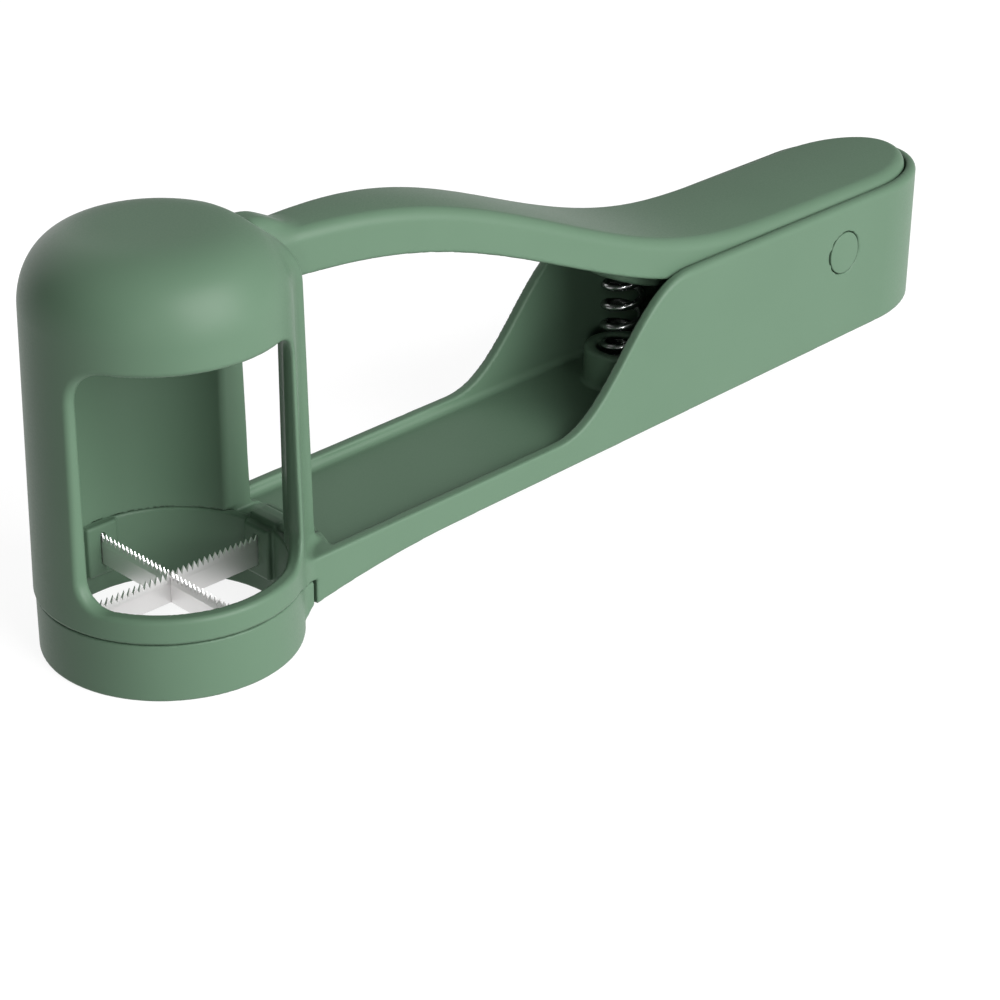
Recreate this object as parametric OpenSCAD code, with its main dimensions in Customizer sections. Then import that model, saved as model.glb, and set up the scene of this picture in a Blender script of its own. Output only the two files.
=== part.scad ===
// Grape cutter: a domed cage with a four-way blade ring, a channel handle and a press lever
// that a spring lifts. Millimetres. Z is the head's axis, the ring's foot is at Z = 0 and the
// handle runs along +X.

/* [Head] */
// Diameter of the chamber that holds the grape and guides the pusher
chamber_d = 35; // [33:0.5:40]
// Wall of the head at its foot
head_wall = 2.5; // [2.2:0.1:3.5]
// Draft of the head's side in degrees
head_draft = 1; // [0:0.1:1.2]
// Height where the dome starts
shoulder_z = 54; // [50:0.5:60]
// Rise of the dome above its start
dome_rise = 11.1; // [10:0.1:14]
// Wall of the dome at its crown
dome_wall = 1.9; // [1.5:0.1:2.5]
// How square the dome's side is, 2 is round
dome_side_power = 4.3; // [3:0.1:5]
// How flat the dome's crown is, 2 is round
dome_crown_power = 1.9; // [1.6:0.1:2.4]

/* [Window] */
// Height of the window's lower edge above the ring's sleeve
window_lift = 1.3; // [1:0.1:6]
// Distance of the window's upper edge below the dome
window_drop = 3.9; // [3.5:0.1:10]
// Distance of the window's left edge in front of the head's axis
window_left_y = 3.9; // [2:0.1:6]
// Distance of the window's right edge behind the slot's end
window_right_gap = 0.5; // [0:0.1:3]
// Radius of the window's upper corners
window_top_round = 5.7; // [3:0.1:8]
// Radius of the window's lower corners
window_foot_round = 4.2; // [2:0.1:6]

/* [Lever slot] */
// Width of the slot in the head that the lever drops through
slot_w = 13; // [12:0.5:14]
// Depth of the slot in the dome, from the chamber's side
slot_depth = 4.2; // [3.8:0.1:4.8]
// Thickness of the two lips beside the slot
lip_t = 2; // [1.6:0.1:2.5]
// Reach of the lips past the head at their foot
lip_foot_reach = 1; // [0.5:0.1:2]
// Reach of the lips past the head at their top
lip_top_reach = 0; // [0:0.1:0.5]
// Height of the lips above the dome's start
lip_rise = 5; // [4:0.1:7]
// Radius of the lips' top corner
lip_round = 6; // [3:0.5:6]

/* [Blade ring] */
// Height of the ring below the head
ring_h = 9.2; // [8.5:0.1:12]
// Step from the head's side in to the ring
ring_step = 0.3; // [0.1:0.1:1]
// Height of the sleeve that slides into the head, above the ring
sleeve_rise = 2.8; // [2:0.1:4]
// Wall of the sleeve
sleeve_wall = 1.1; // [0.8:0.1:1.2]
// Width of the four bosses that hold the blade ends
boss_w = 5.8; // [4:0.1:7]
// Reach of a boss into the chamber
boss_reach = 1.2; // [0.8:0.1:2.5]
// Height of a boss below its blade
boss_foot = 2; // [1:0.1:3]
// Distance from the head's side to the end of the ring's tab
tab_back = 3.4; // [3:0.1:5]
// Height of the tab
tab_h = 5.3; // [4:0.1:7]
// Drop of the tab's top below the ring's
tab_drop = 1.4; // [0.2:0.1:2]
// Bevel under the tab
tab_bevel = 1.4; // [0.5:0.1:2]
// Width of the catch that holds the ring
catch_w = 6; // [4:0.5:8]
// Height of the catch above the ring
catch_rise = 3.7; // [3:0.1:4.5]
// Reach of the catch's nose past the head
catch_reach = 1.2; // [0.5:0.1:1.5]
// Thickness of the catch's nose
catch_t = 1; // [0.6:0.1:1.2]

/* [Blades] */
// Thickness of a blade
blade_t = 0.75; // [0.5:0.05:1]
// Height of a blade
blade_h = 5; // [4:0.1:6]
// Distance of the teeth's tips below the sleeve's top
tip_drop = 1.5; // [1:0.1:3]
// Height of the bevel that thins a blade to its teeth
bevel_h = 1.9; // [1.4:0.1:2.2]
// Depth of the teeth
tooth_depth = 1.3; // [0.4:0.05:1.5]
// Distance from tooth to tooth
tooth_pitch = 1; // [0.8:0.1:1.5]
// Length of a blade's end inside its boss
blade_hold = 1.7; // [1:0.1:2]
// Thickness left at the teeth's tips
edge_t = 0.15; // [0.1:0.05:0.3]

/* [Arm and handle] */
// Width over the handle
handle_w = 26.8; // [25.8:0.2:27.4]
// Wall of the handle and of the channel's sides
side_wall = 1.9; // [1.8:0.1:2]
// Distance from the head's axis to the handle's rear end
rear_x = 169.5; // [160:0.5:190]
// Length of the handle's rounded rear end
rear_round = 18.9; // [17:0.1:20]
// Step from the head's foot up to the channel's floor
floor_step = 0.6; // [0.4:0.1:1.5]
// Rise of the channel's floor from the head to the rear
floor_rise = 2.7; // [2:0.1:4]
// Thickness under the floor at the rear
floor_rear_t = 1.85; // [1.6:0.05:2.5]
// Thickness under the floor at the head's end, where the arm bends down to the ring
floor_front_t = 3; // [2:0.1:4]
// Distance from the head's side to that bend
bend_run = 26; // [20:1:35]
// Drop of the underside at the ring
under_dip = 2.4; // [1.5:0.1:3]
// Distance from the head's side to where the channel starts
channel_start = 4.2; // [3.5:0.1:7]
// Height of the channel's rim over its floor at the head
rim_front_h = 1.5; // [1:0.1:3]
// Rise of the rim from there to where it starts to climb
rim_rise = 1; // [0.5:0.1:2]
// Distance from the climb's start to its end
climb_run = 34; // [30:1:40]
// Distance from the climb's end to the pivot
climb_back = 38.6; // [35:0.1:42]
// Height of the handle's walls over the floor's rear, where the climb ends
handle_wall_h = 21.7; // [20:0.1:23]
// Rise of the handle's rim from there to the rear
grip_rim_rise = 1.2; // [0.6:0.1:3]

/* [Press lever] */
// Gap between the lever and the slot's sides
slot_gap = 2; // [1:0.1:2.4]
// Distance from the head's side to where the lever starts to widen
flare_front = 2; // [1:1:10]
// Distance from where the lever is at full width to the pivot
flare_back = 51.6; // [45:0.1:55]
// Gap between the lever and the handle's walls
lever_gap = 0.25; // [0.2:0.05:0.4]
// Height of the lever's top above the dome's start, at the head
lever_front_rise = 5.3; // [4.5:0.1:6]
// Height of the lever's top over the handle's rim, where the grip starts
lever_proud = 2.4; // [2:0.1:4]
// Distance from the head's side to where the lever's top starts to fall
fall_front = 1; // [1:1:6]
// Distance from the fall's end to the pivot
fall_back = 13.4; // [10:0.1:20]
// Rise of the lever's top from there to the rear
grip_rise = 0.6; // [0.3:0.1:1]
// Depth of the lever
lever_depth = 7.3; // [6.8:0.1:8]
// Skin over the lever's hollow underside
lever_skin = 2.4; // [1.6:0.1:3]
// Thickness of the lever's sides and ribs
lever_rib = 1.8; // [1.4:0.1:2.2]
// Number of hollows between the head and the spring
front_bays = 4; // [2:1:6]
// Number of hollows on each side of the pivot
grip_bays = 2; // [1:1:3]
// Gap between the lever's nose and the slot's end
nose_gap = 1; // [0.8:0.1:2]
// Distance from the head's side to where the lever's full depth starts
lever_back = 0.5; // [0:0.1:1]
// Height of the knuckle over the lever's front
knuckle_rise = 2.6; // [1:0.1:3]
// Width of the knuckle
knuckle_w = 6.4; // [5.6:0.2:8]
// Length of the knuckle's fall to the lever's top
knuckle_fall = 7; // [5:0.5:8]
// Distance from the head's side to the end of that fall
knuckle_back = 5; // [4:0.5:6]
// Chamfer at the knuckle's front, and how far its foot sinks into the lever
knuckle_edge = 0.6; // [0.3:0.1:1]
// Height of the nose below the lever's top
nose_h = 4; // [3.5:0.1:4.4]
// Angle that the lever turns through when it is squeezed
press_angle = 16.85; // [14:0.05:17]
// Width of the tongue that carries the pusher
tongue_w = 4.8; // [4:0.2:5.4]

/* [Pivot] */
// Distance from the pivot to the handle's rear end
pivot_back = 29.9; // [26:0.1:34]
// Depth of the pivot below the handle's rim
pivot_drop = 8.2; // [7.5:0.1:9]
// Diameter of the pivot's sleeve
pivot_d = 7.5; // [6:0.1:8]
// Diameter of the stud inside the sleeve
stud_d = 4.6; // [4:0.1:5]
// Outer diameter of the lever's hub
hub_d = 12.4; // [11:0.1:13]
// Running clearance of a pin in its bore, on the radius
run_fit = 0.06; // [0.03:0.01:0.09]
// Clearance of a part that is pressed in, on the radius
press_fit = 0.02; // [0.01:0.01:0.05]

/* [Pusher] */
// Height of the pusher's face above the window at rest
pusher_lift = 0.2; // [0.1:0.1:1]
// Thickness of the pusher's plate
pusher_t = 4; // [3.5:0.1:4.2]
// Clearance of the pusher in the chamber, on the radius
pusher_gap = 0.3; // [0.2:0.05:0.5]
// Depth of the grooves that pass the blades
groove_depth = 2.4; // [2:0.1:2.8]
// Clearance of the grooves at each side of a blade
groove_gap = 0.5; // [0.3:0.1:1]
// Diameter of the pusher's pin
pusher_pin_d = 3; // [2.5:0.1:3.2]
// Distance from the head's axis to the pusher's pin at rest
pusher_pin_x = 1.9; // [1.6:0.1:2.2]
// Height of the pusher's pin above the pusher's face
pin_rise = 7.7; // [7.5:0.1:8]
// Thickness of the pusher's two ears
ear_t = 2; // [1.6:0.1:2.4]
// Half length of the ears
ear_half = 6.4; // [6:0.1:7]
// Half travel of the pin along the ears' slots
pin_travel = 2.2; // [2:0.1:2.4]
// Room above and below the pin in the slots
slot_room = 0.4; // [0.3:0.05:0.5]

/* [Return spring] */
// Distance from the spring to the pivot
spring_back = 42.3; // [40:0.1:44]
// Outer diameter of the spring
spring_d = 7.7; // [7:0.1:8]
// Diameter of the spring's wire
wire_d = 1.3; // [0.9:0.05:1.4]
// Number of curls
spring_turns = 4.5; // [3:0.25:5]
// Depth of the spring's lower seat below the floor's rear
seat_sink = 0.4; // [0.3:0.1:0.8]
// Depth of the spring's upper seat below the lever's top at the grip
seat_depth = 2.7; // [2.5:0.1:4]
// Outer diameter of the two cups round the spring's ends
cup_d = 12.8; // [11.6:0.1:13]
// Depth of the spring in its lower cup
low_cup_depth = 5.1; // [4:0.1:5.2]
// Depth of the spring in its upper cup
high_cup_depth = 3.8; // [3:0.1:4]
// Clearance round the spring in its cups
spring_gap = 0.5; // [0.3:0.1:0.8]

/* [Hidden] */
sage = [0.47, 0.6, 0.49];
steel = [0.82, 0.83, 0.85];
black_steel = [0.1, 0.1, 0.11];
// Overrun of cuts past the faces that they open
over = 1;
// Gap at the parting line between the ring and the head
part_gap = 0.1;
// Running gap round the ring where the arm faces it
ring_gap = 0.3;
// Play of the sleeve in the head, on the radius
sleeve_gap = 0.06;
// Gap left between the spring and the lever's seat at rest
seat_gap = 0.05;
// Facets of round parts
fine = 96;
// Steps of the dome's curve
dome_steps = 20;
// Steps of a rounded corner
corner_steps = 8;
// Steps of the rim's climb and of the lever's fall
curve_steps = 24;
// Rings of the spring in one curl, and the sides of its wire
curl_rings = 8;
wire_sides = 6;
// Rings in the bend at each end of the spring
bend_rings = 3;

// Radii and places round the head's axis
chamber_r = chamber_d / 2;
head_r = chamber_r + head_wall;
head_d = 2 * head_r;
ring_d = head_d - 2 * ring_step;
sleeve_d = chamber_d + 2 * sleeve_wall;
boss_face_r = chamber_r - boss_reach;
blade_reach = boss_face_r + blade_hold;
channel_front_r = head_r + channel_start;
slot_end_x = chamber_r - slot_depth;
window_right_x = slot_end_x - window_right_gap;
lip_foot_x = head_r + lip_foot_reach;
lip_top_x = head_r + lip_top_reach;
tab_x = head_r - tab_back;
catch_x = head_r + catch_reach;
nose_x = slot_end_x + nose_gap;
lever_start_x = head_r + lever_back;
knuckle_foot_x = head_r + knuckle_back;
lever_front_half = slot_w / 2 - slot_gap;
ear_in = tongue_w / 2 + pusher_gap;
ear_out = ear_in + ear_t;

// Heights in the head and its ring
foot_z = ring_h + part_gap;
sleeve_top_z = ring_h + sleeve_rise;
catch_top_z = ring_h + catch_rise;
tab_low_z = ring_h - tab_h;
tab_top_z = ring_h - tab_drop;
tooth_tip_z = sleeve_top_z - tip_drop;
bevel_z = tooth_tip_z - bevel_h;
blade_low_z = tooth_tip_z - blade_h;
boss_low_z = blade_low_z - boss_foot;
window_low_z = sleeve_top_z + window_lift;
window_high_z = shoulder_z - window_drop;
shoulder_r = head_r - (shoulder_z - foot_z) * tan(head_draft);
dome_top_z = shoulder_z + dome_rise;
lip_top_z = shoulder_z + lip_rise;
lever_front_z = shoulder_z + lever_front_rise;
knuckle_z = lever_front_z + knuckle_rise;
nose_low_z = lever_front_z - nose_h;
pusher_z = window_high_z + pusher_lift;
pusher_pin_z = pusher_z + pin_rise;
tongue_r = pusher_pin_z - pusher_z - pusher_t - slot_room;

// Places and heights along the arm and the handle
handle_half = handle_w / 2;
inner_half = handle_half - side_wall;
lever_half = inner_half - lever_gap;
rear_centre_x = rear_x - rear_round;
pivot_x = rear_x - pivot_back;
spring_x = pivot_x - spring_back;
under_bend_x = head_r + bend_run;
climb_end_x = pivot_x - climb_back;
climb_start_x = climb_end_x - climb_run;
flare_start_x = head_r + flare_front;
flare_end_x = pivot_x - flare_back;
fall_start_x = head_r + fall_front;
fall_end_x = pivot_x - fall_back;
floor_front_z = foot_z + floor_step;
floor_rear_z = floor_front_z + floor_rise;
under_bend_z = floor_front_z - floor_front_t;
under_rear_z = floor_rear_z - floor_rear_t;
rim_front_z = floor_front_z + rim_front_h;
rim_low_z = rim_front_z + rim_rise;
rim_high_z = floor_rear_z + handle_wall_h;
rim_rear_z = rim_high_z + grip_rim_rise;
lever_grip_z = rim_high_z + lever_proud;
pivot_z = rim_high_z - pivot_drop;
seat_low_z = floor_rear_z - seat_sink;
cup_top_z = seat_low_z + low_cup_depth;
seat_high_z = lever_grip_z - seat_depth;
upper_cup_z = seat_high_z - high_cup_depth;
cup_slant = cup_d / 2 * tan(press_angle);

// Plain curves between 0 and 1
function clamped(t) = max(0, min(1, t));
function mix(a, b, t) = a + (b - a) * t;
function soft_step(t) = t * t * (3 - 2 * t);
function softer_step(t) = t * t * t * (t * (6 * t - 15) + 10);
function part_of(x, a, b) = clamped((x - a) / (b - a));
function steps(a, b, n) = [for (i = [0:n]) mix(a, b, i / n)];
function arc(cx, cy, r, a0, a1, n) = [for (a = steps(a0, a1, n)) [cx + r * cos(a), cy + r * sin(a)]];

// Half outline of the dome, from its side to its crown
function dome_line(r, z, rise) = [for (a = steps(0, 90, dome_steps))
    [r * pow(cos(a), 2 / dome_side_power), z + rise * pow(sin(a), 2 / dome_crown_power)]];

// Underside, floor and rim of the arm and handle at a distance x from the head's axis
function under_z(x) = mix(under_bend_z, under_rear_z, (x - under_bend_x) / (rear_x - under_bend_x))
    - under_dip * pow(max(0, (under_bend_x - x) / (under_bend_x - tab_x)), 2);
function floor_z(x) = mix(floor_front_z, floor_rear_z, (x - channel_front_r) / (rear_x - channel_front_r));
function low_rim_z(x) = mix(rim_front_z, rim_low_z, (x - tab_x) / (climb_start_x - tab_x));
function high_rim_z(x) = mix(rim_high_z, rim_rear_z, (x - climb_end_x) / (rear_x - climb_end_x));
function rim_z(x) = mix(low_rim_z(x), high_rim_z(x), softer_step(part_of(x, climb_start_x, climb_end_x)));

// Top and half width of the lever at a distance x from the head's axis
function lever_top_z(x) = mix(lever_front_z, lever_grip_z, softer_step(part_of(x, fall_start_x, fall_end_x)))
    + grip_rise * pow(part_of(x, fall_end_x, rear_x), 2);
function lever_half_w(x) = mix(lever_front_half, lever_half, part_of(x, flare_start_x, flare_end_x));

arm_xs = concat(steps(chamber_r / 2, under_bend_x, corner_steps), [climb_start_x],
    steps(climb_start_x, climb_end_x, curve_steps), [rear_x]);
lever_xs = concat([lever_start_x], steps(fall_start_x, fall_end_x, curve_steps),
    steps(fall_end_x, rear_x, corner_steps));

// A flat outline in X and Z, made thick along Y about the middle
module along_y(w) {
    rotate([90, 0, 0]) linear_extrude(w, center = true) children();
}

// A round rod along Y about the middle, at a place in X and Z
module rod_y(x, z, d, w) {
    translate([x, 0, z]) rotate([90, 0, 0]) cylinder(d = d, h = w, center = true, $fn = fine);
}

// The handle's plan from a start to its rounded rear end
module plan(start_x, half, end_round) {
    polygon(concat([[start_x, half], [start_x, -half]],
        [for (a = steps(-90, 90, curve_steps)) [rear_centre_x + end_round * cos(a), half * sin(a)]]));
}

module head_outside() {
    rotate_extrude($fn = fine)
        polygon(concat([[0, foot_z], [head_r, foot_z]], dome_line(shoulder_r, shoulder_z, dome_rise)));
}

module head_inside() {
    rotate_extrude($fn = fine)
        polygon(concat([[0, 0], [chamber_r, 0]], dome_line(chamber_r, shoulder_z, dome_rise - dome_wall)));
    cylinder(d = sleeve_d + 2 * sleeve_gap, h = sleeve_top_z + sleeve_gap, $fn = fine);
}

// The two lips as one block, which the slot then parts
module lips() {
    along_y(slot_w + 2 * lip_t)
        polygon(concat([[slot_end_x, foot_z], [lip_foot_x, foot_z], [lip_foot_x, rim_front_z]],
            arc(lip_top_x - lip_round, lip_top_z - lip_round, lip_round, 0, 90, corner_steps),
            [[slot_end_x, lip_top_z]]));
}

module arm_outside() {
    intersection() {
        along_y(handle_w)
            polygon(concat([for (x = arm_xs) [x, under_z(x)]],
                [for (i = [len(arm_xs) - 1:-1:0]) [arm_xs[i], rim_z(arm_xs[i])]]));
        linear_extrude(dome_top_z) plan(chamber_r / 2, handle_half, rear_round);
    }
}

module channel_cut() {
    difference() {
        intersection() {
            along_y(handle_w)
                polygon([[0, floor_z(0)], [rear_x, floor_z(rear_x)], [rear_x, dome_top_z], [0, dome_top_z]]);
            linear_extrude(dome_top_z) plan(0, inner_half, rear_round - side_wall);
        }
        cylinder(r = channel_front_r, h = dome_top_z + over, $fn = fine);
    }
}

// One side of the window: straight cut with two rounded corners, from far to its edge
module window_side(edge, far) {
    polygon(concat([[far, window_low_z]],
        arc(edge - window_foot_round, window_low_z + window_foot_round, window_foot_round, -90, 0, corner_steps),
        arc(edge - window_top_round, window_high_z - window_top_round, window_top_round, 0, 90, corner_steps),
        [[far, window_high_z]]));
}

module window_cut() {
    intersection() {
        translate([0, -head_r, 0]) along_y(head_d) window_side(window_right_x, -head_d);
        rotate([0, 0, 90]) along_y(2 * head_d) window_side(-window_left_y, -head_d);
    }
}

module slot_cut() {
    translate([slot_end_x, -slot_w / 2, rim_front_z])
        cube([lip_foot_x + over - slot_end_x, slot_w, dome_top_z - rim_front_z]);
}

// Room for the ring and its tab below the parting line, and for its catch
module ring_room() {
    cylinder(d = ring_d + 2 * ring_gap, h = foot_z, $fn = fine);
    translate([0, -handle_half - over, 0]) cube([tab_x + ring_gap, handle_w + 2 * over, tab_top_z + part_gap]);
    translate([0, -catch_w / 2 - ring_gap, 0])
        cube([catch_x + ring_gap, catch_w + 2 * ring_gap, catch_top_z]);
}

// One moulding: domed cage, arm, channel handle and the spring's lower cup
module main_body() {
    color(sage) difference() {
        union() {
            difference() {
                union() {
                    head_outside();
                    lips();
                    arm_outside();
                }
                channel_cut();
            }
            translate([spring_x, 0, floor_z(spring_x) - side_wall / 2])
                cylinder(d = cup_d, h = cup_top_z - floor_z(spring_x) + side_wall / 2, $fn = fine);
        }
        head_inside();
        window_cut();
        slot_cut();
        ring_room();
        rod_y(pivot_x, pivot_z, pivot_d + 2 * press_fit, handle_w + over);
        translate([spring_x, 0, seat_low_z])
            cylinder(d = spring_d + 2 * spring_gap, h = cup_top_z, $fn = fine);
    }
}

// The pull-off ring: skirt, sleeve, tab, four blade bosses and the catch
module blade_ring() {
    color(sage) difference() {
        union() {
            difference() {
                union() {
                    cylinder(d = ring_d, h = ring_h, $fn = fine);
                    cylinder(d = sleeve_d, h = sleeve_top_z, $fn = fine);
                    along_y(handle_w)
                        polygon([[0, tab_low_z - tab_bevel], [tab_x - tab_bevel, tab_low_z - tab_bevel],
                            [tab_x, tab_low_z], [tab_x, tab_top_z], [0, tab_top_z]]);
                }
                translate([0, 0, -over]) cylinder(d = chamber_d, h = sleeve_top_z + 2 * over, $fn = fine);
            }
            for (a = [0:90:270]) rotate([0, 0, a]) translate([boss_face_r, -boss_w / 2, boss_low_z])
                cube([sleeve_d / 2 - boss_face_r - ring_gap, boss_w, sleeve_top_z - boss_low_z]);
            translate([chamber_r + ring_gap, -catch_w / 2, ring_h - over])
                cube([ring_d / 2 - chamber_r - ring_gap, catch_w, catch_top_z - ring_h + over]);
            translate([chamber_r + ring_gap, -catch_w / 2, catch_top_z - catch_t])
                cube([catch_x - chamber_r - ring_gap, catch_w, catch_t]);
        }
        for (a = [0, 90]) rotate([0, 0, a])
            translate([-blade_reach - press_fit, -blade_t / 2 - press_fit, blade_low_z - press_fit])
                cube([2 * (blade_reach + press_fit), blade_t + 2 * press_fit,
                    tooth_tip_z - blade_low_z + 2 * press_fit]);
    }
}

// A saw-toothed strip along X, bevelled to its teeth on both faces
module toothed_strip() {
    n = round(2 * blade_reach / tooth_pitch);
    intersection() {
        along_y(blade_t)
            polygon(concat([[blade_reach, blade_low_z]],
                [for (i = [n:-1:1]) each [
                    [mix(-blade_reach, blade_reach, i / n), tooth_tip_z - tooth_depth],
                    [mix(-blade_reach, blade_reach, (i - 1 / 2) / n), tooth_tip_z]]],
                [[-blade_reach, tooth_tip_z - tooth_depth], [-blade_reach, blade_low_z]]));
        rotate([0, 0, 90]) along_y(2 * blade_reach)
            polygon([[-blade_t / 2, blade_low_z], [blade_t / 2, blade_low_z], [blade_t / 2, bevel_z],
                [edge_t / 2, tooth_tip_z], [-edge_t / 2, tooth_tip_z], [-blade_t / 2, bevel_z]]);
    }
}

// Half-lap notch at the blades' crossing, between two heights
module lap_notch(low, high) {
    lap = blade_t / 2 + press_fit;
    translate([-lap, -blade_t, low]) cube([2 * lap, 2 * blade_t, high - low]);
}

module long_blade() {
    color(steel) difference() {
        toothed_strip();
        lap_notch(blade_low_z - over, (blade_low_z + tooth_tip_z) / 2 + press_fit);
    }
}

module cross_blade() {
    color(steel) rotate([0, 0, 90]) difference() {
        toothed_strip();
        lap_notch((blade_low_z + tooth_tip_z) / 2 - press_fit, tooth_tip_z + over);
    }
}

// The lever's side outline between its top and a depth below it
module lever_side(skin, depth) {
    polygon(concat([for (x = lever_xs) [x, lever_top_z(x) - depth]],
        [for (i = [len(lever_xs) - 1:-1:0]) [lever_xs[i], lever_top_z(lever_xs[i]) - skin]]));
}

// The lever's plan, drawn in by an inset
module lever_plan(inset) {
    half = lever_half - inset;
    end_round = rear_round - side_wall - lever_gap - inset;
    polygon(concat(
        [for (x = [flare_end_x, flare_start_x, lever_start_x]) [x, lever_half_w(x) - inset]],
        [for (x = [lever_start_x, flare_start_x, flare_end_x]) [x, inset - lever_half_w(x)]],
        [for (a = steps(-90, 90, curve_steps)) [rear_centre_x + end_round * cos(a), half * sin(a)]]));
}

// Equal hollows in the lever's underside with ribs between them, from one place along X to another
module bays(x0, x1, count) {
    pitch = (x1 - x0 + lever_rib) / count;
    intersection() {
        along_y(handle_w) lever_side(lever_skin, lever_depth + over);
        linear_extrude(dome_top_z) lever_plan(lever_rib);
        union() {
            for (i = [0:count - 1])
                translate([x0 + i * pitch, -handle_half, 0])
                    cube([pitch - lever_rib, handle_w, dome_top_z]);
        }
    }
}

// The knuckle that enters the slot at the dome, and the tongue that carries the pusher
module nose() {
    join_z = lever_front_z - lever_skin / 2;
    along_y(knuckle_w)
        polygon(concat([[nose_x, nose_low_z], [lever_start_x + over, nose_low_z],
            [lever_start_x + over, join_z], [knuckle_foot_x, join_z]],
            [for (t = steps(1, 0, corner_steps)) [knuckle_foot_x - knuckle_fall * (1 - t),
                mix(knuckle_z, lever_front_z - knuckle_edge, soft_step(t))]],
            [[nose_x + knuckle_edge, knuckle_z], [nose_x, knuckle_z - knuckle_edge]]));
    along_y(tongue_w)
        polygon([[pusher_pin_x, pusher_pin_z - tongue_r], [lever_start_x, nose_low_z],
            [lever_start_x, lever_front_z], [nose_x, lever_front_z],
            [pusher_pin_x, pusher_pin_z + tongue_r]]);
    rod_y(pusher_pin_x, pusher_pin_z, 2 * tongue_r, tongue_w);
}

// The spring's upper cup, slanted so that it is level when the lever is squeezed
module upper_cup() {
    low_z = upper_cup_z - cup_slant;
    high_z = lever_top_z(spring_x + cup_d / 2) - lever_skin / 2;
    intersection() {
        translate([spring_x, 0, low_z]) cylinder(d = cup_d, h = high_z - low_z, $fn = fine);
        along_y(handle_w)
            polygon([[spring_x + cup_d, low_z - cup_slant], [spring_x + cup_d, dome_top_z],
                [spring_x - cup_d, dome_top_z], [spring_x - cup_d, low_z + 3 * cup_slant]]);
    }
}

module press_lever() {
    color(sage) difference() {
        union() {
            difference() {
                intersection() {
                    along_y(handle_w) lever_side(0, lever_depth);
                    linear_extrude(dome_top_z) lever_plan(0);
                }
                bays(flare_start_x + lever_rib, spring_x - cup_d / 2, front_bays);
                bays(spring_x + cup_d / 2, pivot_x - hub_d / 2, grip_bays);
                bays(pivot_x + hub_d / 2, rear_x, grip_bays);
            }
            nose();
            rod_y(pivot_x, pivot_z, hub_d, 2 * lever_half);
            translate([pivot_x - lever_rib, -lever_half, pivot_z])
                cube([2 * lever_rib, 2 * lever_half, lever_top_z(pivot_x) - lever_skin / 2 - pivot_z]);
            upper_cup();
        }
        rod_y(pivot_x, pivot_z, pivot_d + 2 * run_fit, handle_w);
        rod_y(pusher_pin_x, pusher_pin_z, pusher_pin_d + 2 * press_fit, handle_w);
        translate([spring_x, 0, upper_cup_z - cup_slant - over])
            cylinder(d = spring_d + 2 * spring_gap, h = seat_high_z - upper_cup_z + cup_slant + over,
                $fn = fine);
    }
}

// The plate that pushes the grape through the blades, with grooves for them and two slotted ears
module pusher() {
    plate_r = chamber_r - pusher_gap;
    slot_h = pusher_pin_d + 2 * slot_room;
    ear_top = pusher_pin_z + slot_h / 2 + ear_t / 2;
    color(sage) difference() {
        union() {
            translate([0, 0, pusher_z]) cylinder(r = plate_r, h = pusher_t, $fn = fine);
            for (s = [-1, 1])
                translate([-ear_half, s * (ear_in + ear_t / 2) - ear_t / 2, pusher_z + pusher_t / 2])
                    cube([2 * ear_half, ear_t, ear_top - pusher_z - pusher_t / 2]);
        }
        for (a = [0, 90]) rotate([0, 0, a])
            translate([-chamber_r, -blade_t / 2 - groove_gap, pusher_z - over])
                cube([chamber_d, blade_t + 2 * groove_gap, groove_depth + over]);
        for (a = [0:90:270]) rotate([0, 0, a])
            translate([boss_face_r - pusher_gap, -boss_w / 2 - pusher_gap, pusher_z - over])
                cube([chamber_r, boss_w + 2 * pusher_gap, pusher_t + 2 * over]);
        for (s = [-1, 1])
            rod_y(s * pin_travel, pusher_pin_z, slot_h, handle_w);
        translate([-pin_travel, -handle_half, pusher_pin_z - slot_h / 2])
            cube([2 * pin_travel, handle_w, slot_h]);
    }
}

module pusher_pin() {
    color(steel) rod_y(pusher_pin_x, pusher_pin_z, pusher_pin_d, 2 * ear_out + ear_t / 2);
}

// The far half of the pivot: a bush across the handle, flush with its far side
module pivot_sleeve() {
    length = handle_half + inner_half;
    color(sage) translate([pivot_x, handle_half, pivot_z]) rotate([90, 0, 0]) difference() {
        cylinder(d = pivot_d, h = length, $fn = fine);
        translate([0, 0, side_wall])
            cylinder(d = stud_d + 2 * press_fit, h = length, $fn = fine);
    }
}

// The near half: a stud pressed into the bush, with a round head flush with the near side
module pivot_stud() {
    length = handle_half + inner_half;
    color(sage) translate([pivot_x, -handle_half, pivot_z]) rotate([-90, 0, 0]) {
        cylinder(d = pivot_d, h = side_wall, $fn = fine);
        cylinder(d = stud_d, h = length, $fn = fine);
    }
}

// The spring's path, unrolled: way round the coil, height and slope in degrees
spring_r = (spring_d - wire_d) / 2;
spring_len = seat_high_z - seat_gap - seat_low_z;
spring_bend = wire_d;
spring_slope = atan((spring_len - 2 * wire_d - 2 * spring_bend) / (2 * PI * spring_r * spring_turns));
run_rise = spring_len - 2 * wire_d - 2 * spring_bend * cos(spring_slope);
run_way = run_rise / tan(spring_slope);
bend_way = spring_bend * (1 - sin(spring_slope));
run_rings = ceil(spring_turns * curl_rings);
foot_bend = [for (a = steps(0, 90 - spring_slope, bend_rings))
    [spring_bend * (1 - cos(a)), wire_d + spring_bend * sin(a), 90 - a]];
spring_run = [for (i = [1:run_rings - 1]) [bend_way + run_way * i / run_rings,
    wire_d + spring_bend * cos(spring_slope) + run_rise * i / run_rings, spring_slope]];
whole_way = run_way + 2 * bend_way;
head_bend = [for (i = [bend_rings:-1:0])
    [whole_way - foot_bend[i][0], spring_len - foot_bend[i][1], foot_bend[i][2]]];
spring_path = concat([[0, 0, 90]], foot_bend, spring_run, head_bend, [[whole_way, spring_len, 90]]);
function turned(p) = p[0] / spring_r * 180 / PI;
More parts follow.
